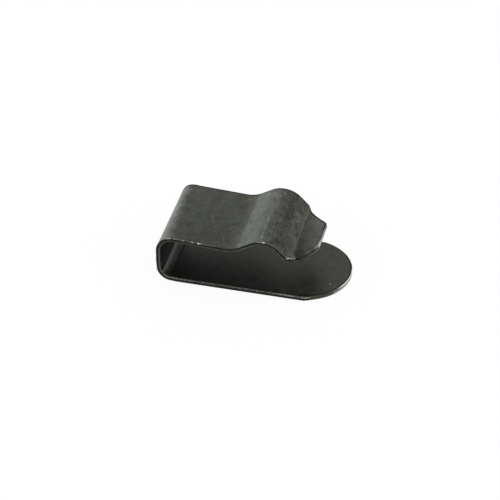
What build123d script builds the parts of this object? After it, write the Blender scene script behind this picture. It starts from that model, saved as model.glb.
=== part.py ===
"""Push-on fairing clip: one strip of spring steel, blanked flat and bent to a U.

Frame, in millimetres: +X runs from the fold to the mouth, +Y across the strip and +Z up.
The origin is on the underside of the base leg, at the middle of the clip's length and width.
"""
from build123d import *
from math import sqrt
import os

# ---- strip -----------------------------------------------------------------
strip_width = 16.0
strip_thickness = 0.8
edge_round = 0.12            # the blanked edges, tumbled

# ---- base leg: flat, with a round free end ----------------------------------
clip_length = 31.4           # outside of the fold to the tip of the round end
round_end_excess = 0.25      # how far its radius passes half the width: it meets the sides at a corner

# ---- bends -------------------------------------------------------------------
# Each bend is where two straight runs of the strip's middle line would cross: its distance from
# the outside of the fold, its height over the base leg's middle line, and its mid-line radius.
fold_rise = 7.95
fold_bottom_radius = 2.0
fold_top_radius = 2.5

dip_reach = 13.1
dip_rise = 7.35
dip_radius = 5.4

hump_reach = 18.7
hump_rise = 10.63
hump_radius = 3.75

crease_reach = 22.95
crease_rise = 6.34
crease_radius = 0.65

tip_reach = 26.5
tip_rise = 6.88

# ---- tongue: the sprung leg's end, tapered in the flat blank ------------------
tip_width = 6.2
tip_corner_radius = 0.7
taper_lead = 1.1             # how far before the crease the taper starts

# ---- derived places -----------------------------------------------------------
half_thickness = strip_thickness / 2
half_width = strip_width / 2
round_end_radius = half_width + round_end_excess
fold_x = -clip_length / 2                  # outside of the fold


def middle_point(reach, rise):
    """A point of the strip's middle line in the side view, as (x, z)."""
    return (fold_x + reach, half_thickness + rise)


base_end = middle_point(clip_length, 0)
fold_bottom = middle_point(half_thickness, 0)
fold_top = middle_point(half_thickness, fold_rise)
dip = middle_point(dip_reach, dip_rise)
hump = middle_point(hump_reach, hump_rise)
crease = middle_point(crease_reach, crease_rise)
tip = middle_point(tip_reach, tip_rise)

tongue_length = sqrt((tip[0] - crease[0]) ** 2 + (tip[1] - crease[1]) ** 2)
taper_slope = (half_width - tip_width / 2) / (taper_lead + tongue_length)
trim_margin = strip_width                  # how far the trimming tools reach past the strip
trim_depth = 2 * strip_thickness           # and how far to each side of the sheet


def tapered_half_width(distance):
    """Half the blank's width, at a distance along the strip from the crease."""
    return half_width - taper_slope * (taper_lead + distance)


def strip_plane(start, end, origin):
    """The plane of a straight run of the strip, with x along the strip and y across it."""
    run = Vector(end[0] - start[0], 0, end[1] - start[1])
    return Plane(origin=(origin[0], 0, origin[1]), x_dir=run, z_dir=run.cross(Vector(0, 1, 0)))


flank_plane = strip_plane(hump, crease, crease)
tongue_plane = strip_plane(crease, tip, crease)

# ---- the clip -------------------------------------------------------------------
with BuildPart() as spring_clip:
    # The bent strip, at full width.
    with BuildSketch(Plane.XZ) as side_view:
        with BuildLine() as middle_line:
            FilletPolyline(
                base_end,
                fold_bottom,
                fold_top,
                dip,
                hump,
                crease,
                tip,
                radius=[
                    fold_bottom_radius,
                    fold_top_radius,
                    dip_radius,
                    hump_radius,
                    crease_radius,
                ],
            )
        trace(line_width=strip_thickness)
    extrude(amount=half_width, both=True)

    # The base leg's free end, cut to a round.
    end_centre_x = base_end[0] - round_end_radius
    end_corner_x = end_centre_x + sqrt(round_end_radius**2 - half_width**2)
    with BuildSketch(Plane.XY) as round_end_waste:
        with Locations((end_corner_x, 0)):
            Rectangle(trim_margin, strip_width + trim_margin, align=(Align.MIN, Align.CENTER))
        with Locations((end_centre_x, 0)):
            Circle(round_end_radius, mode=Mode.SUBTRACT)
    extrude(amount=strip_thickness, mode=Mode.SUBTRACT)

    # The taper, cut square to the sheet: from its start to the crease, then from there on.
    for plane, start, finish in (
        (flank_plane, -taper_lead, strip_thickness),
        (tongue_plane, 0, tongue_length),
    ):
        with BuildSketch(plane) as taper_waste:
            Polygon(
                (start, tapered_half_width(start)),
                (finish, tapered_half_width(finish)),
                (finish, trim_margin),
                (start, trim_margin),
                align=None,
            )
            mirror(about=Plane.XZ)
        extrude(amount=trim_depth, both=True, mode=Mode.SUBTRACT)

    square_to_tongue = Axis((0, 0, 0), tongue_plane.z_dir)
    tip_corners = spring_clip.edges().filter_by(square_to_tongue).sort_by(Axis.X)[-2:]
    fillet(tip_corners, radius=tip_corner_radius)

    # Every blanked edge is rounded. Left alone are the seams between bends and straight runs,
    # which lie across the strip, and the corners that run through its thickness.
    edges_across = spring_clip.edges().filter_by(Axis.Y).sort_by(Axis.X)
    bend_seams = edges_across[:-2]
    corners = spring_clip.edges().filter_by(lambda edge: abs(edge.length - strip_thickness) < 0.01)
    fillet(spring_clip.edges() - bend_seams - corners, radius=edge_round)

spring_clip.part.label = "spring_clip"

os.makedirs("parts", exist_ok=True)
export_step(spring_clip.part, "parts/spring_clip.step")
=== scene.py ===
# %% [markdown]
# # A push-on fairing clip
# The clip is one strip of spring steel. It was blanked flat by a press, bent to a U on a
# former, hardened, and blackened in a hot oxide bath. Nothing is welded, screwed or printed on it,
# so its looks come from three things: the smooth bends, the sheared edge that runs all round
# the blank, and the thin dark oxide with the rubs that handling leaves in it.
# The scene follows the maker's order: cut the flat blank, bend it, then finish it.

# %% Load the clip's frame
import math

import bpy
import numpy as np
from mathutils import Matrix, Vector


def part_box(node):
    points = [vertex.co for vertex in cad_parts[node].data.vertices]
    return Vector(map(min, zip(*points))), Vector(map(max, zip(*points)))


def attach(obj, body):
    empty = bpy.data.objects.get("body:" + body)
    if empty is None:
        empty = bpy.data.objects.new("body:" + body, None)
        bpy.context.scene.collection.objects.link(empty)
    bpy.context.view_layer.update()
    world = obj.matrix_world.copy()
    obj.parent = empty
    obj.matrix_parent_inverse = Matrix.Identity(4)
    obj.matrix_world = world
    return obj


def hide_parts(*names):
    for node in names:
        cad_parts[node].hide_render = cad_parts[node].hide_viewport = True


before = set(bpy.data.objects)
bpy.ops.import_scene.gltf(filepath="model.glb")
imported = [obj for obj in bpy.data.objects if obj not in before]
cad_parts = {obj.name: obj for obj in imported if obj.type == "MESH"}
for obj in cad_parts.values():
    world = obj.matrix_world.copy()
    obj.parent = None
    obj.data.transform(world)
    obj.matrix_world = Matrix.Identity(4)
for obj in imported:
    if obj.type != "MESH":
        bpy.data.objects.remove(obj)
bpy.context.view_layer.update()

# %% [markdown]
# ## Sizes
# The drawing's sizes are in millimetres. The clip's length and width are read from its solid,
# so that the two can't drift apart. A bend is given as on the drawing: where the two straight
# runs beside it would cross, as a distance from the outside of the fold and a height over the
# base leg's middle line, with the radius of the middle line round it.

# %% Sizes of the strip
mm = 0.001                                 # Blender's own unit is the metre
clip_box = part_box("spring_clip")
fold_x = clip_box[0][0] / mm               # outside of the fold
clip_length = (clip_box[1][0] - clip_box[0][0]) / mm
half_width = (clip_box[1][1] - clip_box[0][1]) / mm / 2
thickness = 0.8
half_thickness = thickness / 2
round_end_radius = 8.25                    # over half the width, so it meets the sides at a corner
print(f"strip {2 * half_width:.1f} x {thickness} mm, clip {clip_length:.1f} mm long")

# %% Corners of the middle line
corners = [                                # (reach, rise, bend radius)
    (clip_length, 0, 0),                   # round end
    (half_thickness, 0, 2.0),              # fold, lower bend
    (half_thickness, 7.95, 2.5),           # fold, upper bend
    (13.1, 7.35, 5.4),                     # dip
    (18.7, 10.63, 3.75),                   # hump
    (22.95, 6.34, 0.65),                   # crease
    (26.5, 6.88, 0),                       # tip
]
print(len(corners) - 2, "bends, the tightest of", min(c[2] for c in corners[1:-1]), "mm radius")

# %% [markdown]
# ## The length of the blank
# A bend's middle line is neither stretched nor squeezed, so the blank is as long as the middle
# line: each straight run less what the bends take from it, plus each bend's arc. Working this
# out first lets everything else be placed in millimetres along the flat strip.

# %% Straight runs and bends along the blank
def turn_angle(before, here, after):
    """How far the middle line turns at a corner, in radians."""
    a = math.atan2(here[1] - before[1], here[0] - before[0])
    b = math.atan2(after[1] - here[1], after[0] - here[0])
    return (b - a + math.pi) % (2 * math.pi) - math.pi


turns = [0] + [turn_angle(*corners[i - 1:i + 2]) for i in range(1, len(corners) - 1)] + [0]
takes = [c[2] * math.tan(abs(turn) / 2) for c, turn in zip(corners, turns)]
bends = []                                 # (start, end, turn), along the blank from the round end
distance = 0.0
for i in range(1, len(corners)):
    distance += math.dist(corners[i - 1][:2], corners[i][:2]) - takes[i - 1] - takes[i]
    arc = corners[i][2] * abs(turns[i])
    bends.append((distance, distance + arc, turns[i]))
    distance += arc
blank_length = distance
bends.pop()                                # the tip, which doesn't bend
lower_bend, upper_bend, _, hump, crease = bends
crease_at = (crease[0] + crease[1]) / 2
print(f"blank {blank_length:.2f} mm long; bends start at", [round(b[0], 2) for b in bends])

# %% [markdown]
# ## The outline of the flat blank
# The real blank is punched from strip whose two sides were slit long before. One end is cut to a
# round and the other is nipped to a tongue. The outline is drawn as rows across the strip. Each
# row ends in a point on either side, with the direction in which the edge faces there, which
# later tells the edge's rounding where to go. Rows cost little, so they lie close together
# where the strip will bend and wide apart where it stays flat.

# %% Round end
first_angle = math.radians(2)              # the first row is this far round from the very end
end_angle = math.asin(half_width / round_end_radius)
side_start = round_end_radius * (1 - math.cos(end_angle))
round_end = [                              # (distance, half width, facing)
    (round_end_radius * (1 - math.cos(a)), round_end_radius * math.sin(a), math.pi - a)
    for a in np.linspace(first_angle, end_angle, 26)[:-1]
]
print(f"round end takes {side_start:.2f} mm in {len(round_end)} rows")

# %% [markdown]
# ## The tongue's two sides
# The tongue was nipped off one side at a time, and its sides came out slightly bowed and not
# quite alike. So each side is its own pair of soft curves with its own rounded corner at the
# tip: the nip, which leaves the strip's side, and the swell, which runs on to the corner.

# %% One side of the tongue
def curve_point(a, b, c, u):
    """The place and the direction at share u of the curve that leaves a for b and arrives at c."""
    place = (1 - u) ** 2 * a + 2 * u * (1 - u) * b + u * u * c
    way = (1 - u) * (b - a) + u * (c - b)
    return (*place, math.atan2(way[0], -way[1]))


def tongue_side(nip_start, nip_middle, nip_end, swell, corner_half_width, corner_radius):
    """Outline points (distance, half width, facing) from the taper's start to the tip.

    The nip is a curve that starts on the strip's side and ends near the crease. The swell is
    the one point that the rest of the side bends towards on its way to the corner. Each is a
    distance from the crease and a half width; of the nip's start only the distance is given.
    """
    start, middle, end, swell = (
        np.array([crease_at + d, w])
        for d, w in ((nip_start, half_width), nip_middle, nip_end, swell)
    )
    corner = np.array([blank_length, corner_half_width])
    into = (corner - swell) / np.hypot(*(corner - swell))
    facing_end = math.atan2(into[0], -into[1])
    take = corner_radius * math.tan(facing_end / 2)
    side = [(start[0] - 0.01, half_width, math.pi / 2)]   # up to here it faces straight out
    side += [curve_point(start, middle, end, u) for u in np.linspace(0, 1, 20)[:-1]]
    side += [curve_point(end, swell, corner - take * into, u) for u in np.linspace(0, 1, 50)]
    centre = np.array([blank_length - corner_radius, corner_half_width - take])
    for a in np.linspace(facing_end, 0, 8)[1:]:
        side.append((*(centre + corner_radius * np.array([math.cos(a), math.sin(a)])), a))
    return np.array(side)


tongue_sides = {                           # -1 is the front side, 1 the back
    -1: tongue_side(-1.08, (-0.12, 6.42), (1.15, 6.26), (1.33, 6.2), 3.13, 3.4),
    1: tongue_side(-1.12, (-0.5, 7.5), (0.05, 7.06), (0.8, 5.88), 3.66, 0.85),
}
taper_start = min(side[0, 0] for side in tongue_sides.values())
print("tongue's taper starts", round(crease_at - taper_start, 2), "mm before the crease")

# %% Distances of the rows along the blank
bend_step = math.radians(4)                # the turn from one row of a bend to the next
least_gap = 0.05
tip_start = blank_length - 1.5             # from here on the tip's corners are round
row_gaps = {side_start: 0.35, taper_start: 0.3, tip_start: 0.2}   # widest gap on the way there
for start, end, turn in bends:
    margin = 0.5 if end - start < 1 else 0.0
    row_gaps[start - margin] = 0.3
    row_gaps[end + margin] = max(bend_step * (end - start) / abs(turn), least_gap)
places = sorted(row_gaps)
distances = [side_start]
for start, end in zip(places, places[1:]):
    steps = max(1, math.ceil((end - start) / row_gaps[end]))
    distances += list(np.linspace(start, end, steps + 1)[1:])
print(len(distances), "rows between the round end and the tip's corners")

# %% Rows of the blank
side_facing = math.pi / 2
corner_facing = math.pi - end_angle / 2 - math.pi / 4   # halfway between the round and the side
rows = [{-1: point, 1: point} for point in round_end]
for d in distances:
    row = {}
    for side, curve in tongue_sides.items():
        if d <= taper_start:
            row[side] = (d, half_width, side_facing if d > side_start else corner_facing)
        else:
            row[side] = (d, *[np.interp(d, curve[:, 0], curve[:, k]) for k in (1, 2)])
    rows.append(row)

tip_rows = 21                              # these end on the tip's round corners, evenly spaced
tip_ends = {}
for side, curve in tongue_sides.items():
    left = np.vstack([rows[-1][side], curve[curve[:, 0] > distances[-1] + 1e-6]])
    run = np.concatenate([[0], np.cumsum(np.hypot(*np.diff(left[:, :2], axis=0).T))])
    wanted = np.linspace(0, run[-1], tip_rows + 1)[1:]
    tip_ends[side] = np.stack([np.interp(wanted, run, left[:, k]) for k in range(3)], axis=1)
rows += [{side: tuple(tip_ends[side][k]) for side in (-1, 1)} for k in range(tip_rows)]
print(len(rows), "rows in all")

# %% [markdown]
# ## Faces and edge of the blank
# Columns run along the strip, closer together near the edge, where a bend makes the edge curl.
# The two faces stop where the rounding of the edge starts. Rings then go round the edge from
# one face to the other: a quarter round, the straight cut face and a quarter round.
# Slitting leaves a side a little out of square, so the strip's long sides lean outwards towards
# the outer face, most of all on the base leg. The two blanked ends were cut square.

# %% Columns, and the loop round the edge
column_gaps = (                            # from the strip's sides inwards
    0.0, 0.06, 0.18, 0.36, 0.6, 0.9, 1.25, 1.65, 2.1, 2.6,
    3.1, 3.6, 4.1, 4.6, 5.1, 5.6, 6.1, 6.6, 7.1, 7.5,
)
fractions = sorted({0.0} | {
    round(side * (1 - gap / half_width), 5) for gap in column_gaps for side in (-1, 1)
})
row_count, column_count = len(rows), len(fractions)
loop = [(i, 0) for i in range(row_count)]
loop += [(row_count - 1, j) for j in range(1, column_count)]
loop += [(i, column_count - 1) for i in range(row_count - 2, -1, -1)]
loop += [(0, j) for j in range(column_count - 2, 0, -1)]
print(f"{row_count} x {column_count} points on a face, {len(loop)} round its edge")

# %% A point of the blank
edge_round = 0.12                          # tumbling took this off the blanked edges
edge_lean = 0.12                           # how far the sprung leg's sides lean outwards
lean_at, lean_share = zip(
    (side_start - 1.5, 0.0), (side_start, 1.6), (lower_bend[0], 1.6),
    (upper_bend[1], 1.0), (taper_start - 6, 1.0), (taper_start, 0.0),
)


def row_point(i, j, inset):
    """The point at row i and column j, with the row's ends moved in from the outline."""
    ends = []
    for side in (-1, 1):
        d, w, facing = rows[i][side]
        ends.append((d - inset * math.cos(facing), side * (w - inset * math.sin(facing))))
    share = (fractions[j] + 1) / 2
    return tuple((1 - share) * a + share * b for a, b in zip(*ends))


def leaning_point(i, j, inset, height):
    """The same point at a height in the sheet, moved out where the side leans."""
    lean = edge_lean * np.interp(rows[i][1][0], lean_at, lean_share)
    return (*row_point(i, j, inset - lean * (height / thickness + 0.5)), height)


print("the sides lean by up to", round(edge_lean * max(lean_share), 2), "mm over the sheet")

# %% Points of the two faces
points, upright_points, outer_face, inner_face = [], [], {}, {}
for face, height in ((outer_face, half_thickness), (inner_face, -half_thickness)):
    for i in range(row_count):
        for j in range(column_count):
            face[i, j] = len(points)
            points.append(leaning_point(i, j, edge_round, height))
            upright_points.append(row_point(i, j, edge_round))
print(len(points), "points on the two faces")

# %% Rings of points round the edge
quarter = [math.radians(a) for a in (22.5, 45, 67.5, 90)]
rounding = [
    (edge_round * (1 - math.sin(a)), half_thickness - edge_round * (1 - math.cos(a)))
    for a in quarter
]
cut_face = [(0.0, 0.14), (0.0, 0.0), (0.0, -0.14)]
profile = rounding + cut_face + [(inset, -height) for inset, height in reversed(rounding)]
rings = [[outer_face[place] for place in loop]]
for inset, height in profile:
    rings.append(list(range(len(points), len(points) + len(loop))))
    points += [leaning_point(i, j, inset, height) for i, j in loop]
    upright_points += [row_point(i, j, inset) for i, j in loop]
rings.append([inner_face[place] for place in loop])
print(len(profile), "rings round the edge,", len(points), "points in all")

# %% Mesh of the blank
faces = []
for i in range(row_count - 1):
    for j in range(column_count - 1):
        quad = [(i, j), (i + 1, j), (i + 1, j + 1), (i, j + 1)]
        faces.append([outer_face[place] for place in quad])
        faces.append([inner_face[place] for place in reversed(quad)])
for above, below in zip(rings, rings[1:]):
    for k in range(len(loop)):
        n = (k + 1) % len(loop)
        faces.append([above[k], below[k], below[n], above[n]])

blank_mesh = bpy.data.meshes.new("flat_blank")
blank_mesh.from_pydata([[v * mm for v in p] for p in points], [], faces)
blank_mesh.validate()
fairing_clip = bpy.data.objects.new("fairing_clip", blank_mesh)
bpy.context.scene.collection.objects.link(fairing_clip)
print(f"flat blank: {len(points)} points, {len(faces)} faces")

# %% [markdown]
# ## How far each point lies from the edge
# The curl of the bends and most of the wear depend on how near the blank's edge a point lies.
# That is measured once, on the flat blank, and kept on each point as an attribute in
# millimetres, which both the bending tree and the steel can read.

# %% Gap to the edge
outline = np.array([row_point(i, j, 0) for i, j in loop])
edge_gap = np.array([np.hypot(*(outline - p).T).min() for p in upright_points])
on_cut_face = np.abs(np.array(points)[:, 2]) < half_thickness - edge_round + 1e-6
edge_gap[on_cut_face] = 0
gap_attribute = blank_mesh.attributes.new("edge_gap", "FLOAT", "POINT")
gap_attribute.data.foreach_set("value", edge_gap.astype(np.float32))
print(f"the middle of the strip lies {edge_gap.max():.2f} mm from the edge")

# %% [markdown]
# ## One small helper for nodes
# The bend and the finishes are node trees. This function adds one node, sets its options and
# fills its sockets, either with a value or with a link from another node.

# %% Helper for nodes
def add_node(tree, kind, sockets=None, **options):
    """Adds a node. A socket takes a value, another node's socket or a node's first output."""
    made = tree.nodes.new(kind)
    for name, value in options.items():
        setattr(made, name, value)
    for socket, value in (sockets or {}).items():
        if isinstance(value, bpy.types.Node):
            value = value.outputs[0]
        if isinstance(value, bpy.types.NodeSocket):
            tree.links.new(value, made.inputs[socket])
        else:
            made.inputs[socket].default_value = value
    return made


print("one helper serves every node tree:", add_node.__name__)

# %% [markdown]
# ## The middle line
# The line that the strip is bent along is a curve with a point at each corner. The point's
# own radius holds the bend radius, which the Fillet Curve node reads.

# %% Middle line of the bent strip
line_data = bpy.data.curves.new("middle_line", "CURVE")
line_data.dimensions = "3D"
line_spline = line_data.splines.new("POLY")
line_spline.points.add(len(corners) - 1)
for point, (reach, rise, radius) in zip(line_spline.points, corners):
    point.co = ((fold_x + reach) * mm, 0, (half_thickness + rise) * mm, 1)
    point.radius = radius * mm
middle_line = bpy.data.objects.new("middle_line", line_data)
bpy.context.scene.collection.objects.link(middle_line)
print("middle line has", len(line_spline.points), "corners")

# %% [markdown]
# ## Bending the blank
# A press bends a blank by wrapping it round formers, and Geometry Nodes can do the same: each
# point of the blank looks up its own distance along the filleted middle line and moves there,
# keeping its place across the strip and its height in the sheet. A plain extrusion of the side
# view would give the same bends, but not the faults of a real press, nor a flat blank to paint.
# The faults are inputs of the tree, all of them small. The crease is not quite square to the
# strip. The two legs drift by about a fifth of a millimetre at most, because the strip lay
# slightly askew in the former. The fold's upper bend is fuller at the back and its lower bend
# flatter at the front, where the strip sprang off the former. And a tight bend makes the
# strip's two edges curl away from the former, as a bent rubber curls at its sides.

# %% Inputs of the tree that bends the strip
bend_tree = bpy.data.node_groups.new("bend_strip", "GeometryNodeTree")
bend_inputs = {}
for name, kind in (
    ("Blank", "NodeSocketGeometry"),
    ("Middle line", "NodeSocketObject"),
    ("Steps in a bend", "NodeSocketInt"),
    ("Strip width", "NodeSocketFloat"),
    ("Crease skew", "NodeSocketFloat"),
    ("Skew starts at", "NodeSocketFloat"),
    ("Base leg drift", "NodeSocketVector"),
    ("Sprung leg drift", "NodeSocketVector"),
    ("Fold starts at", "NodeSocketFloat"),
    ("Fold ends at", "NodeSocketFloat"),
    ("Fuller upper bend", "NodeSocketFloat"),
    ("Flatter lower bend", "NodeSocketFloat"),
    ("Edge curl", "NodeSocketFloat"),
    ("Edge curl width", "NodeSocketFloat"),
    ("Steel", "NodeSocketMaterial"),
):
    made = bend_tree.interface.new_socket(name, in_out="INPUT", socket_type=kind)
    bend_inputs[name] = made.identifier
bend_tree.interface.new_socket("Clip", in_out="OUTPUT", socket_type="NodeSocketGeometry")
given = add_node(bend_tree, "NodeGroupInput").outputs
print(len(bend_inputs), "named inputs")

# %% The blank's points and the filleted line
flat_place = add_node(bend_tree, "GeometryNodeInputPosition").outputs["Position"]
flat_axes = add_node(bend_tree, "ShaderNodeSeparateXYZ", {"Vector": flat_place}).outputs
line_in = add_node(bend_tree, "GeometryNodeObjectInfo", {"Object": given["Middle line"]})
bent_line = add_node(bend_tree, "GeometryNodeFilletCurve", {
    "Curve": line_in.outputs["Geometry"],
    "Count": given["Steps in a bend"],
    "Radius": add_node(bend_tree, "GeometryNodeInputRadius"),
}, mode="POLY").outputs["Curve"]
print("reading the blank and the line:", len(bend_tree.nodes), "nodes")

# %% [markdown]
# ### Where each point goes
# A point's distance along the strip says where on the line it goes, and the line's tangent
# there, crossed with the axis across the strip, says which way is outwards. From halfway down
# the hump's flank on, the distance is shifted by a share of the point's place across, which
# skews the crease. The same shift is given back along the flank's straight run, so the sheet
# isn't stretched.

# %% Place on the line, and the way outwards
past_flank = add_node(bend_tree, "ShaderNodeMath",
    {0: flat_axes["X"], 1: given["Skew starts at"]}, operation="GREATER_THAN")
side_share = add_node(bend_tree, "ShaderNodeMath",
    {0: flat_axes["Y"], 1: given["Strip width"]}, operation="DIVIDE")
side_skew = add_node(bend_tree, "ShaderNodeMath",
    {0: side_share, 1: given["Crease skew"]}, operation="MULTIPLY")
shift = add_node(bend_tree, "ShaderNodeMath", {0: side_skew, 1: past_flank}, operation="MULTIPLY")
sample_at = add_node(bend_tree, "ShaderNodeMath",
    {0: flat_axes["X"], 1: shift}, operation="SUBTRACT")
on_line = add_node(bend_tree, "GeometryNodeSampleCurve",
    {"Curves": bent_line, "Length": sample_at}, mode="LENGTH", use_all_curves=True)
on_flank = add_node(bend_tree, "GeometryNodeSampleCurve",
    {"Curves": bent_line, "Length": given["Skew starts at"]}, mode="LENGTH", use_all_curves=True)
outward = add_node(bend_tree, "ShaderNodeVectorMath",
    {0: on_line.outputs["Tangent"], 1: (0, 1, 0)}, operation="CROSS_PRODUCT")
outward = add_node(bend_tree, "ShaderNodeVectorMath", {0: outward}, operation="NORMALIZE")
print("placing a point:", len(bend_tree.nodes), "nodes")

# %% [markdown]
# ### The curl of the edges
# How tightly the strip bends is read from two tangents, a little before the point and a little
# after it. The curl lifts a point by that turn, near the edge only, and a limit keeps the
# crease, by far the tightest bend, from curling more than the rest.

# %% How tightly the strip bends, and the curl
turn_reach = 0.4 * mm                      # the tangents are read this far before and after
most_turn, least_turn = 0.4, -0.15         # sines; a bend the other way counts as negative
tangents = []
for operation in ("SUBTRACT", "ADD"):
    beside = add_node(bend_tree, "ShaderNodeMath", {0: sample_at, 1: turn_reach}, operation=operation)
    tangents.append(add_node(bend_tree, "GeometryNodeSampleCurve",
        {"Curves": bent_line, "Length": beside}, mode="LENGTH", use_all_curves=True).outputs["Tangent"])
turning = add_node(bend_tree, "ShaderNodeVectorMath",
    {0: tangents[0], 1: tangents[1]}, operation="CROSS_PRODUCT")
turning = add_node(bend_tree, "ShaderNodeSeparateXYZ", {"Vector": turning}).outputs["Y"]
held_turning = add_node(bend_tree, "ShaderNodeClamp",
    {"Value": turning, "Min": least_turn, "Max": most_turn})
gap_here = add_node(bend_tree, "GeometryNodeInputNamedAttribute",
    {"Name": "edge_gap"}, data_type="FLOAT")
near_edge = add_node(bend_tree, "ShaderNodeMapRange", {
    "Value": gap_here.outputs["Attribute"],
    "From Min": 0.0, "From Max": given["Edge curl width"],
    "To Min": 1.0, "To Max": 0.0,
}, interpolation_type="SMOOTHSTEP")
curl = add_node(bend_tree, "ShaderNodeMath", {0: held_turning, 1: near_edge}, operation="MULTIPLY")
curl = add_node(bend_tree, "ShaderNodeMath", {0: curl, 1: given["Edge curl"]}, operation="MULTIPLY")
height = add_node(bend_tree, "ShaderNodeMath", {0: flat_axes["Z"], 1: curl}, operation="ADD")
print("with the curl:", len(bend_tree.nodes), "nodes")

# %% How full the fold's two bends are
fold_faults = (                            # (input, bend, shares of it where it starts, peaks, ends, side)
    ("Fuller upper bend", upper_bend, (0.2, 0.6, 1.1), 1),
    ("Flatter lower bend", lower_bend, (-0.5, 0.5, 1.5), -1),
)
for name, (start, end, _), shares, side in fold_faults:
    first, peak, last = (start + share * (end - start) for share in shares)
    fullness = given[name]
    for axis, none_at, full_at in (
        ("X", first, peak), ("X", last, peak), ("Y", 0.0, side * half_width),
    ):
        part = add_node(bend_tree, "ShaderNodeMapRange", {
            "Value": flat_axes[axis], "From Min": none_at * mm, "From Max": full_at * mm,
        }, interpolation_type="SMOOTHSTEP")
        fullness = add_node(bend_tree, "ShaderNodeMath",
            {0: fullness, 1: part}, operation="MULTIPLY")
    height = add_node(bend_tree, "ShaderNodeMath", {0: height, 1: fullness}, operation="ADD")
    print(name, "reaches from", round(first, 1), "to", round(last, 1), "mm along the blank")

# %% How far each leg drifts
base_share = add_node(bend_tree, "ShaderNodeMapRange", {
    "Value": flat_axes["X"], "From Min": 0.0, "From Max": given["Fold starts at"],
    "To Min": 1.0, "To Max": 0.0,
})
sprung_share = add_node(bend_tree, "ShaderNodeMapRange", {
    "Value": flat_axes["X"], "From Min": given["Fold starts at"], "From Max": given["Fold ends at"],
})
base_drift = add_node(bend_tree, "ShaderNodeVectorMath",
    {0: given["Base leg drift"], "Scale": base_share}, operation="SCALE")
sprung_drift = add_node(bend_tree, "ShaderNodeVectorMath",
    {0: given["Sprung leg drift"], "Scale": sprung_share}, operation="SCALE")
print("with the drift:", len(bend_tree.nodes), "nodes")

# %% Add up the moves
lifted = add_node(bend_tree, "ShaderNodeVectorMath",
    {0: outward, "Scale": height}, operation="SCALE")
skewed = add_node(bend_tree, "ShaderNodeVectorMath",
    {0: on_flank.outputs["Tangent"], "Scale": shift}, operation="SCALE")
sideways = add_node(bend_tree, "ShaderNodeCombineXYZ", {"Y": flat_axes["Y"]})
place = on_line.outputs["Position"]
for move in (lifted, skewed, sideways, base_drift, sprung_drift):
    place = add_node(bend_tree, "ShaderNodeVectorMath", {0: place, 1: move}, operation="ADD")
lowest = (-1, -1, 0)                       # in metres: only the height is held, to the floor
place = add_node(bend_tree, "ShaderNodeVectorMath", {0: place, 1: lowest}, operation="MAXIMUM")
print("five moves added up:", len(bend_tree.nodes), "nodes")

# %% [markdown]
# ### Finish the tree
# Each point keeps its place on the flat blank as an attribute, in millimetres, before it moves.
# The steel is painted by it, so every mark bends with the strip.

# %% Keep the flat place, move the points, set the material
flat_mm = add_node(bend_tree, "ShaderNodeVectorMath",
    {0: flat_place, "Scale": 1 / mm}, operation="SCALE")
with_flat = add_node(bend_tree, "GeometryNodeStoreNamedAttribute",
    {"Geometry": given["Blank"], "Name": "flat_mm", "Value": flat_mm},
    data_type="FLOAT_VECTOR", domain="POINT")
bent = add_node(bend_tree, "GeometryNodeSetPosition", {"Geometry": with_flat, "Position": place})
smooth = add_node(bend_tree, "GeometryNodeSetShadeSmooth", {"Geometry": bent})
real = add_node(bend_tree, "GeometryNodeRealizeInstances", {"Geometry": smooth})
finished = add_node(bend_tree, "GeometryNodeSetMaterial", {"Geometry": real, "Material": given["Steel"]})
add_node(bend_tree, "NodeGroupOutput", {"Clip": finished})
print("bending tree has", len(bend_tree.nodes), "nodes")

# %% [markdown]
# ## Black-oxide spring steel
# The strip is carbon spring steel, blackened in a hot salt bath that turns its skin to magnetite.
# The skin is a thousandth of a millimetre thick and follows the metal, so it still shines like
# metal, only very dark: it is nearly black face on and bright at a glancing angle. The former
# has rubbed the outsides of the bends paler, the sheared edge took the bath unevenly, and handling
# has worn corners back to bare steel.
# One metal is painted in coats, because on the real clip all these are one surface too.
# Everything is placed on the flat blank, in millimetres along it, across it and through it,
# so each mark bends with the metal as the real ones did.

# %% Where we are on the blank
steel = bpy.data.materials.new("black_oxide_spring_steel")
steel.use_nodes = True
steel_tree = steel.node_tree
steel_tree.nodes.clear()
flat_here = add_node(steel_tree, "ShaderNodeAttribute", attribute_name="flat_mm").outputs["Vector"]
flat_parts = add_node(steel_tree, "ShaderNodeSeparateXYZ", {"Vector": flat_here}).outputs
along, across, depth = flat_parts["X"], flat_parts["Y"], flat_parts["Z"]
gap = add_node(steel_tree, "ShaderNodeAttribute", attribute_name="edge_gap").outputs["Fac"]
print("a place on the blank has", len(flat_parts), "parts and a gap to the edge, all in mm")

# %% [markdown]
# ## Masks
# A mask is a number that is 1 where a finish lies and 0 elsewhere. Here masks are made from the
# place on the blank and put together: all of some masks at once, any of them, or their sum.

# %% Putting masks together
def all_of(*masks):
    """The product of some masks or numbers: 1 where every mask is 1."""
    result = masks[0]
    for mask in masks[1:]:
        result = add_node(steel_tree, "ShaderNodeMath", {0: result, 1: mask}, operation="MULTIPLY")
    return result


def any_of(*masks):
    """The largest of some masks: 1 where any one of them is 1."""
    result = masks[0]
    for mask in masks[1:]:
        result = add_node(steel_tree, "ShaderNodeMath", {0: result, 1: mask}, operation="MAXIMUM")
    return result


def sum_of(*parts):
    """The sum of some masks or numbers."""
    result = parts[0]
    for part in parts[1:]:
        result = add_node(steel_tree, "ShaderNodeMath", {0: result, 1: part}, operation="ADD")
    return result


print("ways to put masks together:", *[way.__name__ for way in (all_of, any_of, sum_of)])

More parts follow.
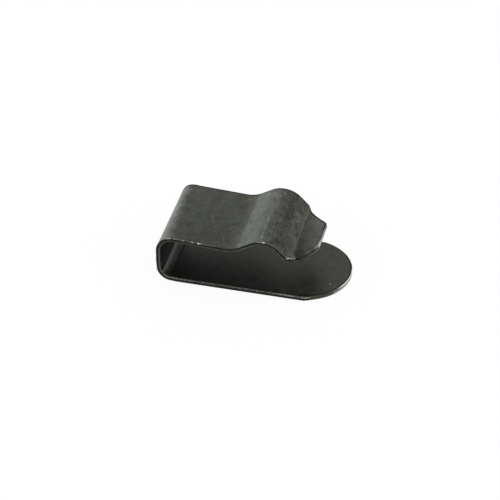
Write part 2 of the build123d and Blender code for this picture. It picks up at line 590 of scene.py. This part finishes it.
# %% Fading along a value
def fade(value, *stops):
    """A factor that goes smoothly from stop to stop. A stop is a value and the factor there."""
    parts = []
    for (start, low), (end, high) in zip(stops, stops[1:]):
        if low != high:
            base = 0.0 if parts else low
            parts.append(add_node(steel_tree, "ShaderNodeMapRange", {
                "Value": value, "From Min": start, "From Max": end,
                "To Min": base, "To Max": base + high - low,
            }, interpolation_type="SMOOTHSTEP"))
    return sum_of(*parts)


def band(value, start, end, soft):
    """1 between start and end, falling to 0 over soft on either side."""
    return fade(value, (start - soft, 0), (start, 1), (end, 1), (end + soft, 0))


outer_from = 0.1                           # the face's colour takes over this far from the middle
on_outer = fade(depth, (-outer_from, 0), (outer_from, 1))
on_inner = fade(depth, (-outer_from, 1), (outer_from, 0))
print("outer and inner face part", outer_from, "mm from the middle of the sheet")

# %% [markdown]
# ## Coats of colour
# Colours are written as sRGB hex values, as a paint chart gives them. The shader works in
# linear light, so one function turns them. Coats are laid one over another, as on the real
# clip: the skin first, then what was rubbed, worn or scratched through it.

# %% Colours and coats
def linear(code):
    """An sRGB hex colour as linear red, green, blue and alpha."""
    values = [int(code[i:i + 2], 16) / 255 for i in (1, 3, 5)]
    return (*[v / 12.92 if v <= 0.04045 else ((v + 0.055) / 1.055) ** 2.4 for v in values], 1.0)


def coated(ground, *coats):
    """Lays coats over a ground. A coat is a colour, or a hex value, and the mask where it lies."""
    for colour, mask in coats:
        if isinstance(colour, str):
            colour = linear(colour)
        sockets = {"Factor": mask, 6: ground, 7: colour}
        ground = add_node(steel_tree, "ShaderNodeMix", sockets, data_type="RGBA").outputs[2]
    return ground


print("plain skin #41423e in linear light:", [round(v, 3) for v in linear("#41423e")[:3]])

# %% [markdown]
# ## Unevenness of the skin
# Noises, each at a size found on such strip: clouds a millimetre or two wide from the bath,
# grain a quarter of a millimetre wide from the rolled surface, and marks drawn out across the
# strip, which the forming tools left where they slid over the bends. Real grain is finer than a
# quarter of a millimetre, and is drawn as coarse as it needs to show.

# %% Clouds, grain and tool marks
def noise(size, detail, stretch=(1, 1, 1), shift=(0, 0, 0)):
    """Noise with blobs about size mm wide, stretched by some factors along the blank's axes."""
    scaled = add_node(steel_tree, "ShaderNodeMapping", {
        "Vector": flat_here, "Location": shift, "Scale": tuple(1 / (size * s) for s in stretch),
    })
    sockets = {"Vector": scaled, "Scale": 1.0, "Detail": detail, "Roughness": 0.6}
    return add_node(steel_tree, "ShaderNodeTexNoise", sockets).outputs["Fac"]


def swing(pattern, low, high):
    """A factor between low and high. Nearly all of a noise lies between 0.3 and 0.7."""
    return fade(pattern, (0.3, low), (0.7, high))


clouds = noise(1.8, 3)
grain = noise(0.28, 2, shift=(3, 7, 0))
tool_marks = noise(0.45, 3, stretch=(1, 4, 1), shift=(11, 2, 0))
blotches = noise(0.75, 3, stretch=(1, 1.5, 1), shift=(5, 21, 0))
specks = noise(0.4, 2, shift=(23, 5, 0))
hues = noise(2.4, 2, shift=(9, 33, 0))
fine_hues = noise(0.55, 1, shift=(14, 3, 0))
print(sum(node.type == "TEX_NOISE" for node in steel_tree.nodes), "noises on the skin")

# %% [markdown]
# ## Tones along the blank
# The plain skin is a very dark grey with a little green in it. On the outer face the outsides of
# the fold and of the rise to the hump are painted paler, as a painted reflection of the light, and
# the fall of the hump is painted darkest, as painted shade. The inner face is painted darker
# towards the fold and darkest inside it, as painted shade, with a pale stripe near the fold's
# bottom that is a painted reflection.
# The sheared edge has two bands with tones of their own. The punch first shears the blank,
# which leaves a burnished band, and then the rest tears off, which leaves a dull dark one.
# A tone is given at each place where it changes, in millimetres along the blank. It is simpler
# than a mask for each part, because the tones then blend by themselves.

# %% Tones of the two faces
# painted light: the paler tones round the fold (35.8 to 38.5 mm) and on the rise (50.9 to 54.4 mm) are a
# painted reflection, the darkest ones on the hump's fall painted shade
outer_tones_and_painted_light = (
    (33.0, "#41423e"), (35.8, "#6a6f68"), (37.3, "#717570"), (38.0, "#646862"), (38.5, "#575a54"),
    (39.0, "#454743"), (42.0, "#41433e"), (48.8, "#434540"), (50.4, "#4a4d48"), (50.9, "#5e645e"),
    (53.0, "#5c625c"), (54.4, "#595e58"), (55.0, "#4f504b"), (56.2, "#454540"), (57.2, "#3b3b36"),
    (58.6, "#40413c"), (60.0, "#444540"), (61.0, "#3c3d39"), (62.0, "#41423f"), (63.0, "#494b46"),
    (64.5, "#4d4f4a"),
)
# painted shade: the inner face darkens towards the fold and is darkest inside it; the pale stop at 30.75 to
# 31.15 mm is a painted reflection
inner_tones_and_painted_shade = (
    (0.0, "#403f3b"), (4.0, "#3e3e3a"), (12.0, "#393936"), (20.0, "#31312e"), (26.0, "#2e2e2c"),
    (28.0, "#3a3a37"), (29.1, "#383835"), (30.3, "#2e2e2c"), (30.75, "#40403d"), (31.15, "#40403d"),
    (31.5, "#282826"), (32.2, "#232322"), (36.0, "#242423"), (60.0, "#2e2e2b"),
)
print(len(outer_tones_and_painted_light), "tones on the outer face,", len(inner_tones_and_painted_shade), "on the inner")

# %% Tones of the edge's two bands
burnished_tones = (
    (0.0, "#62635d"), (1.9, "#5a5b55"), (2.4, "#4a4b46"), (5.0, "#454641"), (5.4, "#666762"),
    (6.2, "#62635d"), (6.7, "#4a4b46"), (8.2, "#50514c"), (8.7, "#70716b"), (9.3, "#6c6d67"),
    (10.2, "#60615b"), (10.8, "#4e4f4a"), (13.0, "#43433e"), (24.0, "#43433e"), (28.0, "#4c4d48"),
    (36.5, "#4a4b46"), (38.2, "#42433e"), (49.5, "#464742"), (51.2, "#525450"), (53.5, "#4c4d48"),
    (55.0, "#474843"), (60.0, "#464742"), (64.7, "#42433f"),
)
# painted reflection: the near-white tones up to 1.5 mm along make the round end's torn band as light as the
# floor it reflects
torn_tones_and_painted_reflection = (
    (0.0, "#b8b7b1"), (1.5, "#a5a49e"), (1.9, "#50514b"), (4.8, "#444540"), (5.6, "#30312e"),
    (7.0, "#282927"), (29.0, "#282927"), (31.0, "#2c2d2b"), (36.5, "#2e2f2c"), (38.4, "#1e1f1d"),
    (47.5, "#20211f"), (49.5, "#2b2c29"), (51.0, "#1e1f1d"), (54.0, "#181817"), (59.5, "#161615"),
    (61.9, "#141413"), (63.0, "#2c2d2a"), (63.8, "#3b3c38"), (64.0, "#20211f"), (64.3, "#20211f"),
    (64.5, "#3b3c38"),
)
print(len(burnished_tones), "tones on the burnished band,", len(torn_tones_and_painted_reflection), "on the torn one")

# %% Ramps of tones
fold_border = swing(noise(1.3, 3, shift=(8, 14, 0)), -0.42, 0.42)
ragged = sum_of(                           # a place with a little noise, so that borders are ragged
    along,
    swing(tool_marks, -0.12, 0.12),
    all_of(fold_border, band(along, 38.0, 39.6, 0.8)),
)
tone_place = all_of(ragged, 1 / blank_length)
tone = {}
for part, tones in (
    ("outer", outer_tones_and_painted_light), ("inner", inner_tones_and_painted_shade),
    ("burnished", burnished_tones), ("torn", torn_tones_and_painted_reflection),
):
    ramp = add_node(steel_tree, "ShaderNodeValToRGB", {"Fac": tone_place})
    while len(ramp.color_ramp.elements) < len(tones):
        ramp.color_ramp.elements.new(1.0)
    for element, (place, code) in zip(ramp.color_ramp.elements, tones):
        element.position = place / blank_length
        element.color = linear(code)
    tone[part] = ramp.outputs["Color"]
skin = coated(tone["inner"], (tone["outer"], on_outer))
print("ramps for", ", ".join(tone))

# %% [markdown]
# ## Mottling
# A bath blackens worked metal unevenly, so the noises scale the skin's colour up and down. The
# hump was worked hardest and is the most mottled, the rubbed outsides of the bends come next,
# and the flats have little more than clouds and grain. Scaling keeps the hue, which laying
# coats of grey over it would not.

# %% Mottling
on_hump = all_of(band(along, 56.8, 60.3, 1.2), on_outer)
on_fold = all_of(band(along, 34.0, 38.6, 0.3), on_outer)
on_rise = all_of(band(along, 50.9, 54.4, 0.3), on_outer)
on_bends = any_of(on_hump, on_fold, on_rise)
hump_swing = (0.66, 1.42)


def where(mask, low, high, pattern):
    """A factor that swings with a pattern where the mask is 1, and is 1 elsewhere."""
    return sum_of(all_of(swing(pattern, low - 1, high - 1), mask), 1.0)


mottle = all_of(
    where(fade(depth, (-outer_from, 0.5), (outer_from, 1.0)), 0.8, 1.2, clouds),
    swing(grain, 0.82, 1.18),
    where(on_hump, *hump_swing, blotches),
    where(on_fold, 0.88, 1.14, blotches),
    where(on_hump, 0.72, 1.3, specks),
    where(on_bends, 0.86, 1.16, tool_marks),
)
print("the hump's blotches swing between", *hump_swing, "of the skin's colour")

# %% Wide soft changes
across_share = add_node(steel_tree, "ShaderNodeMapRange", {
    "Value": across, "From Min": -half_width, "From Max": half_width, "To Min": -1.0, "To Max": 1.0,
})
# painted light and shade: the sprung leg is paler towards the back, and the tongue paler at the back and
# darker at the front next to the crease
sprung_back_painted_light = all_of(across_share, band(along, 41.5, 47.0, 2.0), 0.13)
tongue_painted_light_and_shade = all_of(
    across_share, fade(along, (60.8, 0), (61.4, 1), (62.2, 1), (64.2, 0.45)), on_outer, 0.65,
)
mottle = all_of(
    mottle, sum_of(sprung_back_painted_light, tongue_painted_light_and_shade, 1.0), fade(depth, (-outer_from, 1.0), (outer_from, 1.025)),
)
skin = add_node(steel_tree, "ShaderNodeVectorMath", {0: skin, "Scale": mottle}, operation="SCALE")
print("the sprung leg and the tongue are paler towards the back")

# %% [markdown]
# ### Casts of colour
# An oxide skin isn't quite neutral. It leans to brown where it is thin and to blue-green where
# it is thick, by a few hundredths. A cast is a factor for red, green and blue rather than a
# colour, and it multiplies the skin.

# %% Warm and cool casts
cast = coated(
    (1.025, 0.995, 0.97, 1),
    ((0.97, 1.01, 1.0, 1), fade(hues, (0.35, 0), (0.65, 1))),
    ((1.025, 1.0, 0.955, 1), all_of(on_hump, fade(blotches, (0.4, 0), (0.65, 1)))),
    ((1.03, 0.99, 0.975, 1), all_of(band(along, 48.9, 50.2, 0.4), on_outer)),
)
fine_cast = coated(
    (1.035, 0.985, 0.99, 1),
    ((0.965, 1.015, 1.005, 1), fade(fine_hues, (0.35, 0), (0.65, 1))),
)
for tint in (cast, fine_cast):
    skin = add_node(steel_tree, "ShaderNodeVectorMath", {0: skin, 1: tint}, operation="MULTIPLY")
print("skin so far:", len(steel_tree.nodes), "nodes")

# %% [markdown]
# ## The sheared edge
# The edge shows how the blank was cut. The burnished band is on the inner side of the bend all
# the way round and the torn band on the outer side, and they meet near the middle of the sheet.
# Where the shear rolled the base leg's inner corner over, it is nearly black. All of it is one
# coat, held to the edge by the gap attribute.

# %% Burnished and torn bands
on_rim = fade(gap, (0.03, 1), (0.13, 0))
rim_patches = noise(0.7, 3, stretch=(1, 1, 0.4), shift=(17, 3, 1))
base_seam, sprung_seam = -0.01, -0.02      # where the bands meet on each leg, from the middle
seam_half_width = 0.06
from_seam = sum_of(depth, fade(along, (38.0, -base_seam), (39.0, -sprung_seam)))
on_burnished = fade(from_seam, (-seam_half_width, 1), (seam_half_width, 0))
rim = coated(tone["torn"], (tone["burnished"], on_burnished))
rim_mottle = all_of(fade(rim_patches, (0.35, 0.78), (0.65, 1.26)), swing(grain, 0.84, 1.16))
rim = add_node(steel_tree, "ShaderNodeVectorMath", {0: rim, "Scale": rim_mottle}, operation="SCALE")
rolled = all_of(
    fade(depth, (-0.33, 1), (-0.25, 0)),
    fade(along, (1.8, 0), (2.4, 0.45), (4.8, 0.45), (5.6, 1), (38.0, 1), (39.0, 0)),
)
rim = coated(rim, ("#1c1c1b", rolled))
below_burr = sum_of(1.0, all_of(           # the sprung leg's outer corner keeps the face's skin
    fade(depth, (0.26, 0), (0.34, -1)), fade(along, (38.0, 0), (39.0, 1)),
))
skin = coated(skin, (rim, all_of(on_rim, below_burr)))
print("the bands meet", -base_seam, "mm inwards of the sheet's middle, and fade over",
      2 * seam_half_width, "mm")

# %% [markdown]
# ### Dark lines beside the edge
# Dark lines are painted beside the edge: along the back of the sprung leg, round the round end
# and behind the tip.
# there: along the back of the sprung leg, round the round end and behind the tip.

# %% Dark lines
beside_round = band(gap, 0.14, 0.32, 0.06)
dark_lines = {
    "back": all_of(
        fade(gap, (0.26, 1), (0.46, 0)), fade(depth, (0.22, 0), (0.3, 1)), fade(across, (0.5, 0), (2.5, 1)),
    ),
    "round end": all_of(beside_round, fade(along, (1.8, 1), (2.6, 0))),
    "front of the round end": all_of(
        beside_round, fade(along, (6.0, 1), (9.0, 0)),
        fade(across, (-0.6, 1), (0.0, 0)), fade(depth, (-0.3, 1), (-0.2, 0)),
    ),
    "tip": all_of(
        band(gap, 0.06, 0.2, 0.06), fade(along, (64.1, 0), (64.4, 1)),
        fade(across, (-2.2, 0), (-1.2, 1)), 0.4,
    ),
}
skin = coated(skin, ("#141413", any_of(*dark_lines.values())))
print("dark lines beside the edge:", ", ".join(dark_lines))

# %% [markdown]
# ## Corners worn to bare steel, and painted highlights
# Hands and trays rub a sharp corner first. The front outer corner is worn in patches, down to
# bare steel in spots. The bright bands on the tip and the round end are painted highlights,
# painted as bare steel.
# A table of spots puts each where this clip has it, which a noise could not do.

# %% The worn outer corner
front = fade(across, (-2.0, 1), (-1.0, 0))
corner_patches = noise(0.5, 2, shift=(31, 9, 4))
outer_corner = all_of(band(depth, 0.32, 0.5, 0.06), fade(gap, (0.08, 1), (0.2, 0)), front)
worn_spots = (                             # (from, to, how bare)
    (38.6, 39.1, 0.35), (39.6, 39.8, 0.25), (40.9, 41.3, 0.15), (42.6, 42.9, 0.35),
    (43.7, 43.95, 1.0), (44.1, 44.3, 0.3), (54.4, 55.0, 0.15), (55.15, 55.5, 0.7),
    (59.6, 60.2, 0.2), (64.35, 64.66, 0.25),
)
worn_corner = all_of(outer_corner, any_of(*[
    all_of(band(along, start, end, 0.1), bareness) for start, end, bareness in worn_spots
]))
rubbed_length = any_of(
    band(along, 38.0, 46.3, 0.3), band(along, 54.4, 61.7, 0.2), band(along, 63.2, 64.45, 0.2),
)
worn_line = all_of(outer_corner, rubbed_length, fade(corner_patches, (0.35, 0.2), (0.65, 0.9)))
skin = coated(skin, ("#6c6e68", worn_line))
print(len(worn_spots), "worn spots, the longest",
      round(max(end - start for start, end, _ in worn_spots), 2), "mm")

# %% The crease's worn bar
bar_start, bar_end = 60.0, 61.55
crease_depth = any_of(
    fade(depth, (0.21, 0), (0.26, 1)),
    all_of(fade(depth, (0.09, 0), (0.15, 1)), band(along, 60.5, 60.75, 0.22)),
)
crease_bar = all_of(
    fade(gap, (0.12, 1), (0.24, 0)), front, band(along, bar_start, bar_end, 0.12), crease_depth,
)
skin = coated(
    skin,
    ("#8b8c86", crease_bar),
    ("#c2c3bc", all_of(crease_bar, band(along, 60.05, 60.25, 0.15), 0.8)),
    ("#eef0ee", all_of(crease_bar, fade(
        along, (60.6, 0), (60.7, 0.3), (60.95, 0.3), (61.2, 1), (61.5, 1), (61.6, 0),
    ))),
)
print("the bar runs", round(bar_end - bar_start, 2), "mm along the crease's front corner")

# %% Chips along the base leg's rim
chip_size = 0.26
chip_places = any_of(                      # scattered ones, and two that this clip shows
    fade(noise(chip_size, 1, shift=(19, 27, 2)), (0.52, 0), (0.64, 1)),
    band(along, 5.83, 5.93, 0.08), band(along, 6.4, 6.52, 0.08),
)
rim_chips = all_of(
    on_rim, band(depth, -0.27, -0.1, 0.07), chip_places, fade(across, (-2.0, 1.0), (2.0, 0.4)),
    fade(along, (4.7, 0), (5.2, 0.95), (8.0, 0.95), (14.0, 0.5), (31.0, 0.5), (31.5, 0)),
)
skin = coated(skin, ("#9b978c", rim_chips))
print("chips about", chip_size, "mm wide")

# %% Painted highlights on the tip and the round end
# painted highlights: round_glint and tip_glint paint bright steel where the round end and the tip shine
round_glint = all_of(
    on_rim, band(across, -3.3, 0.8, 1.5), fade(along, (4.0, 1), (6.0, 0)),
    band(depth, -0.42, -0.25, 0.05),
)
tip_glint = all_of(
    on_rim, fade(along, (63.9, 0), (64.4, 1)), band(depth, -0.36, 0.3, 0.08),
    fade(across, (-2.75, 0), (-2.3, 0.38), (-2.1, 0.38), (-1.5, 0.3), (2.2, 0.3), (3.6, 0)),
)
corner_streak = all_of(
    on_rim, band(depth, -0.34, -0.16, 0.06), front, fade(along, (63.2, 0.02), (64.5, 0.16)),
)
# worn_corner is wear; tip_glint and round_glint are painted highlights
warm_wear_and_glint = any_of(worn_corner, tip_glint, corner_streak)
cold_glint = any_of(all_of(round_glint, 0.92), all_of(tip_glint, fade(across, (-1.7, 1), (-0.4, 0))))
skin = coated(skin, ("#e8e3d8", warm_wear_and_glint), ("#eef2f1", cold_glint))
# bare holds the worn corner and the painted highlights
bare = any_of(warm_wear_and_glint, round_glint)
print("bare steel on the tip, the round end and the front corner")

# %% [markdown]
# ## Marks
# Single marks on this clip, and painted light and shade: a painted highlight along the crest of
# the hump with a fainter light line beside it, a painted highlight in front of the crease, a few
# scratches, a few bright and dark specks, one speck of rust, and painted shade across the hump,
# beside the crease's front and where the base leg turns into the fold.
# Each is placed one by one: millimetres along the blank, and across it with the back positive.

# %% Spots and scratches
fold_middle = 33                           # before it the inner face is seen, after it the outer


def spot(place, radius):
    """A round speck at a place on the face that is seen there."""
    face_depth = half_thickness if place[0] > fold_middle else -half_thickness
    away = add_node(steel_tree, "ShaderNodeVectorMath",
        {0: flat_here, 1: (*place, face_depth)}, operation="DISTANCE").outputs["Value"]
    return fade(away, (0.6 * radius, 1), (1.3 * radius, 0))


def scratch(start, end, width, bow=0.0):
    """A scratch from start to end, bowed sideways by bow at its middle and fading at its ends."""
    length = math.dist(start, end)
    angle = math.atan2(end[1] - start[1], end[0] - start[0])
    here = add_node(steel_tree, "ShaderNodeVectorMath",
        {0: flat_here, 1: (*start, 0)}, operation="SUBTRACT")
    turned = add_node(steel_tree, "ShaderNodeVectorRotate",
        {"Vector": here, "Angle": -angle}, rotation_type="Z_AXIS")
    parts = add_node(steel_tree, "ShaderNodeSeparateXYZ", {"Vector": turned}).outputs
    share = all_of(parts["X"], 1 / length)
    off = sum_of(parts["Y"], all_of(share, sum_of(1.0, all_of(share, -1.0)), -4 * bow))
    return all_of(band(off, -0.3 * width, 0.3 * width, 0.7 * width), band(share, 0.12, 0.88, 0.12))


print("spots lie on the inner face up to", fold_middle, "mm along, and then on the outer")

# %% Lines across the hump and the crease
broken = fade(noise(0.8, 3, shift=(2, 41, 0)), (0.36, 0), (0.6, 1))
# painted highlights: the lines along the hump's crest and in front of the crease are painted highlights;
# the second line is a fainter light line
crest_highlight = all_of(scratch((54.6, -0.1), (54.85, -7.9), 0.13, -0.05), broken, on_outer)
crest_highlight_back = all_of(scratch((54.8, 5.6), (54.6, 0.3), 0.13, 0.06), broken, on_outer)
second_line = all_of(scratch((55.65, 0.0), (55.9, -7.8), 0.12, 0.08), broken, on_outer)
uneven = sum_of(along, swing(tool_marks, -0.06, 0.06))
crease_highlight = all_of(
    band(uneven, 60.3, 60.42, 0.22), on_outer, fade(gap, (0.2, 0), (0.6, 1)),
    fade(blotches, (0.35, 0.45), (0.6, 1.0)), fade(across, (6.4, 1), (7.2, 0)),
)
fainter_lines = any_of(crest_highlight_back, second_line)
crest_and_crease_lines = (
    ("#80837b", all_of(crest_highlight, fade(grain, (0.35, 0.55), (0.6, 1.0)))),
    ("#636761", all_of(fainter_lines, fade(grain, (0.35, 0.3), (0.6, 1.0)))),
    ("#575b54", crease_highlight),
)
skin = coated(skin, *crest_and_crease_lines)
print(len(crest_and_crease_lines), "coats of rubbed lines")

# %% Scratches
pale_marks = (
    scratch((43.75, 0.4), (44.55, -1.8), 0.15, 0.25),
    scratch((46.5, -3.8), (48.1, -7.3), 0.1, 0.1),
    scratch((39.7, 6.7), (40.2, 5.4), 0.12),
    scratch((38.2, 0.2), (39.1, -5.4), 0.16, -0.15),
    all_of(spot((40.9, 5.9), 0.16), 0.9),
    all_of(spot((38.8, 6.8), 0.25), 0.9),
)
dark_marks = (
    scratch((21.0, -1.9), (23.3, -7.4), 0.15, 0.25),
    scratch((2.9, -2.7), (1.6, -2.3), 0.1),
    # painted shade: a dark line across the base leg where it turns into the fold
    all_of(band(along, 28.95, 29.1, 0.08), fade(across, (-5.5, 0.2), (-2.5, 0.9))),
)
skin = coated(
    skin,
    ("#5f635c", all_of(any_of(*pale_marks), on_outer, 0.55)),
    ("#141413", all_of(any_of(*dark_marks), on_inner)),
)
print(len(pale_marks), "pale marks on the sprung leg,", len(dark_marks), "dark ones on the base leg")

# %% Specks, stains, rust and painted shade
pale_patches = any_of(spot((58.9, 3.4), 0.8), spot((59.2, 1.9), 0.6))
# painted shade: a dark band across the hump where it falls, darker towards the back
hump_shade = all_of(
    band(along, 57.0, 57.5, 0.4), on_outer, fade(across, (-3.0, 0), (1.0, 1)),
    fade(clouds, (0.35, 0), (0.65, 1)), 0.6,
)
rust = spot((49.02, 6.6), 0.26)
marks = (                                  # (colour, where it lies), in the order they are laid
    ("#7d8079", any_of(spot((45.4, -2.7), 0.12), spot((2.8, -3.5), 0.15))),
    ("#1a1a19", any_of(spot((56.05, -1.9), 0.2), all_of(spot((57.4, 1.0), 0.3), 0.6))),
    ("#5a5c56", all_of(pale_patches, fade(specks, (0.35, 0), (0.6, 1)))),
    ("#2c2c29", hump_shade),
    # painted shade: a dark patch on the tongue beside the crease's front
    ("#272620", all_of(spot((61.8, -5.1), 1.2), 0.55)),
    ("#5d605a", all_of(spot((61.0, -6.4), 0.6), 0.9)),
    ("#82827c", any_of(spot((55.5, 6.6), 0.16), all_of(spot((54.9, 5.75), 0.2), 0.6))),
    ("#5f615b", all_of(scratch((57.8, 7.4), (58.9, 7.3), 0.12), 0.8)),
    ("#20201e", all_of(spot((57.94, 1.75), 0.22), 0.8)),
    ("#92734a", rust),
)
skin = coated(skin, *marks)
print(len(marks), "coats of specks, stains and rust")

# %% [markdown]
# ## Shine and relief
# Black oxide has a satin shine. It is duller on the sheared edge and on the rust, and brighter
# where steel is bare and inside the fold, which nothing has rubbed. The relief is only a
# hundredth of a millimetre: rolling grain all over, tool marks on the bends and a coarser tear
# on the edge. A bump serves, since no outline shows relief this fine. Oxide this thin is
# painted as a dark metal, with the metal's usual index of refraction.

# %% Shine and relief
inside_fold = all_of(band(along, 30.6, 36.0, 0.5), on_inner)
# bare, which lowers the roughness, also holds the painted highlights on the tip and the round end
roughness = sum_of(
    swing(clouds, 0.34, 0.42), all_of(inside_fold, -0.12), all_of(on_rim, 0.12),
    all_of(bare, -0.15), all_of(rust, 0.35),
)
relief_height = 0.012                      # mm
relief = sum_of(
    all_of(grain, 0.6), all_of(tool_marks, on_bends, 0.5), all_of(rim_patches, on_rim, 2.0),
)
bump = add_node(steel_tree, "ShaderNodeBump",
    {"Strength": 1.0, "Distance": relief_height * mm, "Height": relief})
steel_surface = add_node(steel_tree, "ShaderNodeBsdfPrincipled", {
    "Base Color": skin,
    "Metallic": 1.0,
    "Roughness": roughness,
    "Normal": bump,
})
add_node(steel_tree, "ShaderNodeOutputMaterial", {"Surface": steel_surface})
print("black-oxide steel has", len(steel_tree.nodes), "nodes")

# %% [markdown]
# ## The finished clip
# The tree is put on the blank as a modifier and its inputs are set, each by its socket's
# identifier, before anything is evaluated. The result is then made a plain mesh that stands by
# itself, and the helpers are removed. It takes the place of the clip's plain solid.

# %% Bend the strip
bender = fairing_clip.modifiers.new("bend", "NODES")
bender.node_group = bend_tree
for name, value in (
    ("Middle line", middle_line),
    ("Steps in a bend", 48),
    ("Strip width", 2 * half_width * mm),
    ("Crease skew", -0.53 * mm),
    ("Skew starts at", (hump[1] + crease[0]) / 2 * mm),
    ("Base leg drift", (0.18 * mm, -0.12 * mm, 0)),
    ("Sprung leg drift", (0, 0.08 * mm, 0)),
    ("Fold starts at", lower_bend[0] * mm),
    ("Fold ends at", upper_bend[1] * mm),
    ("Fuller upper bend", 0.17 * mm),
    ("Flatter lower bend", -0.2 * mm),
    ("Edge curl", 0.08 * mm),
    ("Edge curl width", 1.2),              # in mm, as the gap attribute is
    ("Steel", steel),
):
    bender[bend_inputs[name]] = value

shaped = fairing_clip.evaluated_get(bpy.context.evaluated_depsgraph_get())
clip_mesh = bpy.data.meshes.new_from_object(shaped)
clip_mesh.name = "fairing_clip"
fairing_clip.modifiers.clear()
fairing_clip.data = clip_mesh
bpy.data.objects.remove(middle_line)
bpy.data.meshes.remove(blank_mesh)
print(f"bent clip: {len(clip_mesh.polygons)} faces")

# %% Hand the clip over to its frame
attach(fairing_clip, "root")
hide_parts("spring_clip")
print(fairing_clip.name, "takes the place of the plain solid")

# %% [markdown]
# ## Floor
# Small hardware is shown on a sheet of white card. A white floor under plain light would come
# out a pale grey, and more light would wash out the clip. So the card mixes plain white paint,
# which takes the clip's shadow, with a glow that only the camera and reflections see.

# %% Floor
floor_mesh = bpy.data.meshes.new("floor")
floor_mesh.from_pydata([(-2, -2, 0), (2, -2, 0), (2, 2, 0), (-2, 2, 0)], [], [(0, 1, 2, 3)])
floor = bpy.data.objects.new("floor", floor_mesh)
bpy.context.scene.collection.objects.link(floor)
print("floor", round(2 * max(v.co.x for v in floor_mesh.vertices), 1), "m wide")

# %% White card
card = bpy.data.materials.new("white_card")
card.use_nodes = True
card_tree = card.node_tree
card_tree.nodes.clear()
white = (1, 1, 1, 1)
glow_share = 0.92                          # the rest is paint, which shows the shadow
rays = add_node(card_tree, "ShaderNodeLightPath").outputs
seen = rays["Is Camera Ray"]
for ray in ("Is Glossy Ray", "Is Transmission Ray"):
    seen = add_node(card_tree, "ShaderNodeMath", {0: seen, 1: rays[ray]}, operation="MAXIMUM")
glow = add_node(card_tree, "ShaderNodeMath", {0: seen, 1: glow_share}, operation="MULTIPLY")
card_paint = add_node(card_tree, "ShaderNodeBsdfDiffuse", {"Color": white})
card_glow = add_node(card_tree, "ShaderNodeEmission", {"Color": white, "Strength": 1.0})
card_mix = add_node(card_tree, "ShaderNodeMixShader", {0: glow, 1: card_paint, 2: card_glow})
add_node(card_tree, "ShaderNodeOutputMaterial", {"Surface": card_mix})
floor_mesh.materials.append(card)
print("the card glows at", glow_share, "of full white")

# %% [markdown]
# ## Light
# Hardware for a catalogue is lit from all round, by a tent of white cloth, so that a dark shiny
# part has something pale to reflect. A plain white world does the same with no lamps, and at a
# strength of 1 a colour renders about as it is written.

# %% World
world = bpy.data.worlds.new("white_studio")
bpy.context.scene.world = world
world.use_nodes = True
world.node_tree.nodes.clear()
sky = add_node(world.node_tree, "ShaderNodeBackground", {"Color": white, "Strength": 1.0})
add_node(world.node_tree, "ShaderNodeOutputWorld", {"Surface": sky})
print("white world at strength", sky.inputs["Strength"].default_value)

# %% [markdown]
# ## Camera
# The clip is seen from the front and a little from the right, from above. A long lens half a
# metre away keeps the strip's edges nearly parallel, as a catalogue's view does. The camera is
# placed by two angles and a distance, which are easier to change than a place and a turn.

# %% Camera
azimuth, elevation = math.radians(14.012), math.radians(35.783)
camera_distance = 500.0                    # mm
aim = Vector((-1.316, -1.048, 3.469))      # mm
back = Vector((
    math.sin(azimuth) * math.cos(elevation),
    -math.cos(azimuth) * math.cos(elevation),
    math.sin(elevation),
))
lens = bpy.data.cameras.new("camera")
lens.lens, lens.sensor_width = 215.02, 36.0
lens.clip_start, lens.clip_end = 0.01, 10.0
camera = bpy.data.objects.new("camera", lens)
camera.location = (aim + camera_distance * back) * mm
camera.rotation_euler = back.to_track_quat("Z", "Y").to_euler()
bpy.context.scene.collection.objects.link(camera)
bpy.context.scene.camera = camera
bpy.context.scene.view_settings.view_transform = "Standard"
print("camera at, mm:", [round(v / mm, 1) for v in camera.location])
